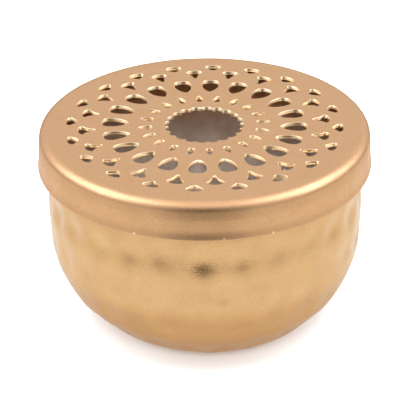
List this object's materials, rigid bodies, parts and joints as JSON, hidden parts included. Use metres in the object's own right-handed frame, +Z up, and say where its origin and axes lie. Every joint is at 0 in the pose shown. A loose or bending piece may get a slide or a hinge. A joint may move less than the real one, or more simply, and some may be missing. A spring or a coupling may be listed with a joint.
{
  "type": "incense burner",
  "caption": "Round-bottomed hammered metal bowl with a drop-on flat lid pierced in a mandala pattern, and a loose ash dish with a stick socket inside.",
  "frame": {"origin": "centre of the bowl's flat underside, on the surface it stands on", "axes": "+Z up along the axis of the bowl and the lid, towards the lid; +X and +Y level, with the lid's pattern turned 4.75 degrees from +X"},
  "size_m": [0.1, 0.1, 0.063],
  "materials": {
    "bowl_gold": "satin gold lacquer over hammered sheet, bare grey metal inside",
    "lid_gold": "fine-grained satin gold lacquer, bright cut edges",
    "dish_steel": "satin, spun",
    "socket_brass": "turned, dulled"
  },
  "bodies": {
    "bowl": {"bowl": "bowl_gold"},
    "lid": {"lid": "lid_gold"},
    "holder": {"ash_dish": "dish_steel", "stick_socket": "socket_brass"}
  },
  "joints": [
    {"name": "lid_lift", "type": "slide", "parent": "bowl", "child": "lid", "axis": [0, 0, 1], "range_m": [0, 0.06]},
    {"name": "holder_lift", "type": "slide", "parent": "bowl", "child": "holder", "axis": [0, 0, 1], "range_m": [0, 0.045]}
  ]
}
